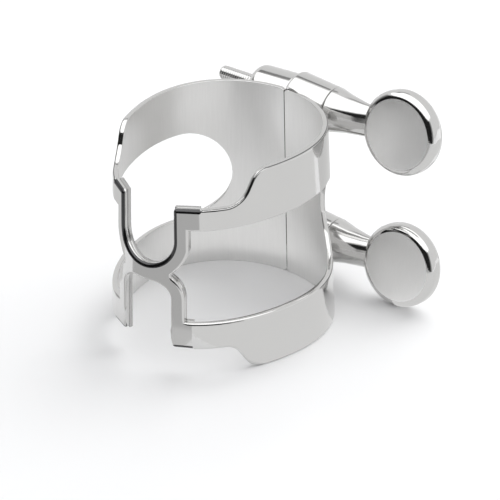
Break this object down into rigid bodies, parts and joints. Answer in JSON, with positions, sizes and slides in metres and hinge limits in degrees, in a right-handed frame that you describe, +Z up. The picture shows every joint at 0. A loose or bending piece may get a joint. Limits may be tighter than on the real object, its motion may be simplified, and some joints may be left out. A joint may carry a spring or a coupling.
{
  "type": "saxophone ligature",
  "caption": "Plated metal clamping ring with notched reed side, open windows and side-by-side thumbscrews that tighten it round a mouthpiece.",
  "frame": {"origin": "middle of the foot of the whole part's box, on the surface that the wide rim stands on", "axes": "+Z up along the ring's axis to the narrow rim, -Y towards the reed side, +X towards the screw heads"},
  "size_m": [0.0354, 0.0348, 0.03],
  "materials": {
    "band_plating": "bright nickel plate on sheet brass, polished",
    "plate_plating": "bright nickel plate, polished",
    "post_plating": "bright nickel plate on turned brass",
    "screw_plating": "bright nickel plate on turned brass, flat faces lightly satin"
  },
  "bodies": {
    "ring": {"band": "band_plating", "reed_plate": "plate_plating", "near_post_upper": "post_plating", "near_post_lower": "post_plating"},
    "wing": {"left_wing": "band_plating", "far_post_upper": "post_plating", "far_post_lower": "post_plating"},
    "upper_screw": {"thumbscrew_upper": "screw_plating"},
    "lower_screw": {"thumbscrew_lower": "screw_plating"}
  },
  "joints": [
    {"name": "upper_screw_turn", "type": "hinge", "parent": "ring", "child": "upper_screw", "pos_m": [-0.00419, 0.01353, 0.0246], "axis": [1, 0, 0], "range_deg": [0, 720]},
    {"name": "lower_screw_turn", "type": "hinge", "parent": "ring", "child": "lower_screw", "pos_m": [-0.00419, 0.01399, 0.00555], "axis": [1, 0, 0], "range_deg": [0, 720]},
    {"name": "band_opening", "type": "hinge", "parent": "ring", "child": "wing", "pos_m": [-0.01173, -0.01366, 0], "axis": [0, 0, 1], "range_deg": [0, 2.2]}
  ],
  "couplings": [
    {"joint": "lower_screw_turn", "follows": "upper_screw_turn", "ratio": 1},
    {"joint": "band_opening", "follows": "upper_screw_turn", "ratio": 0.002917}
  ]
}
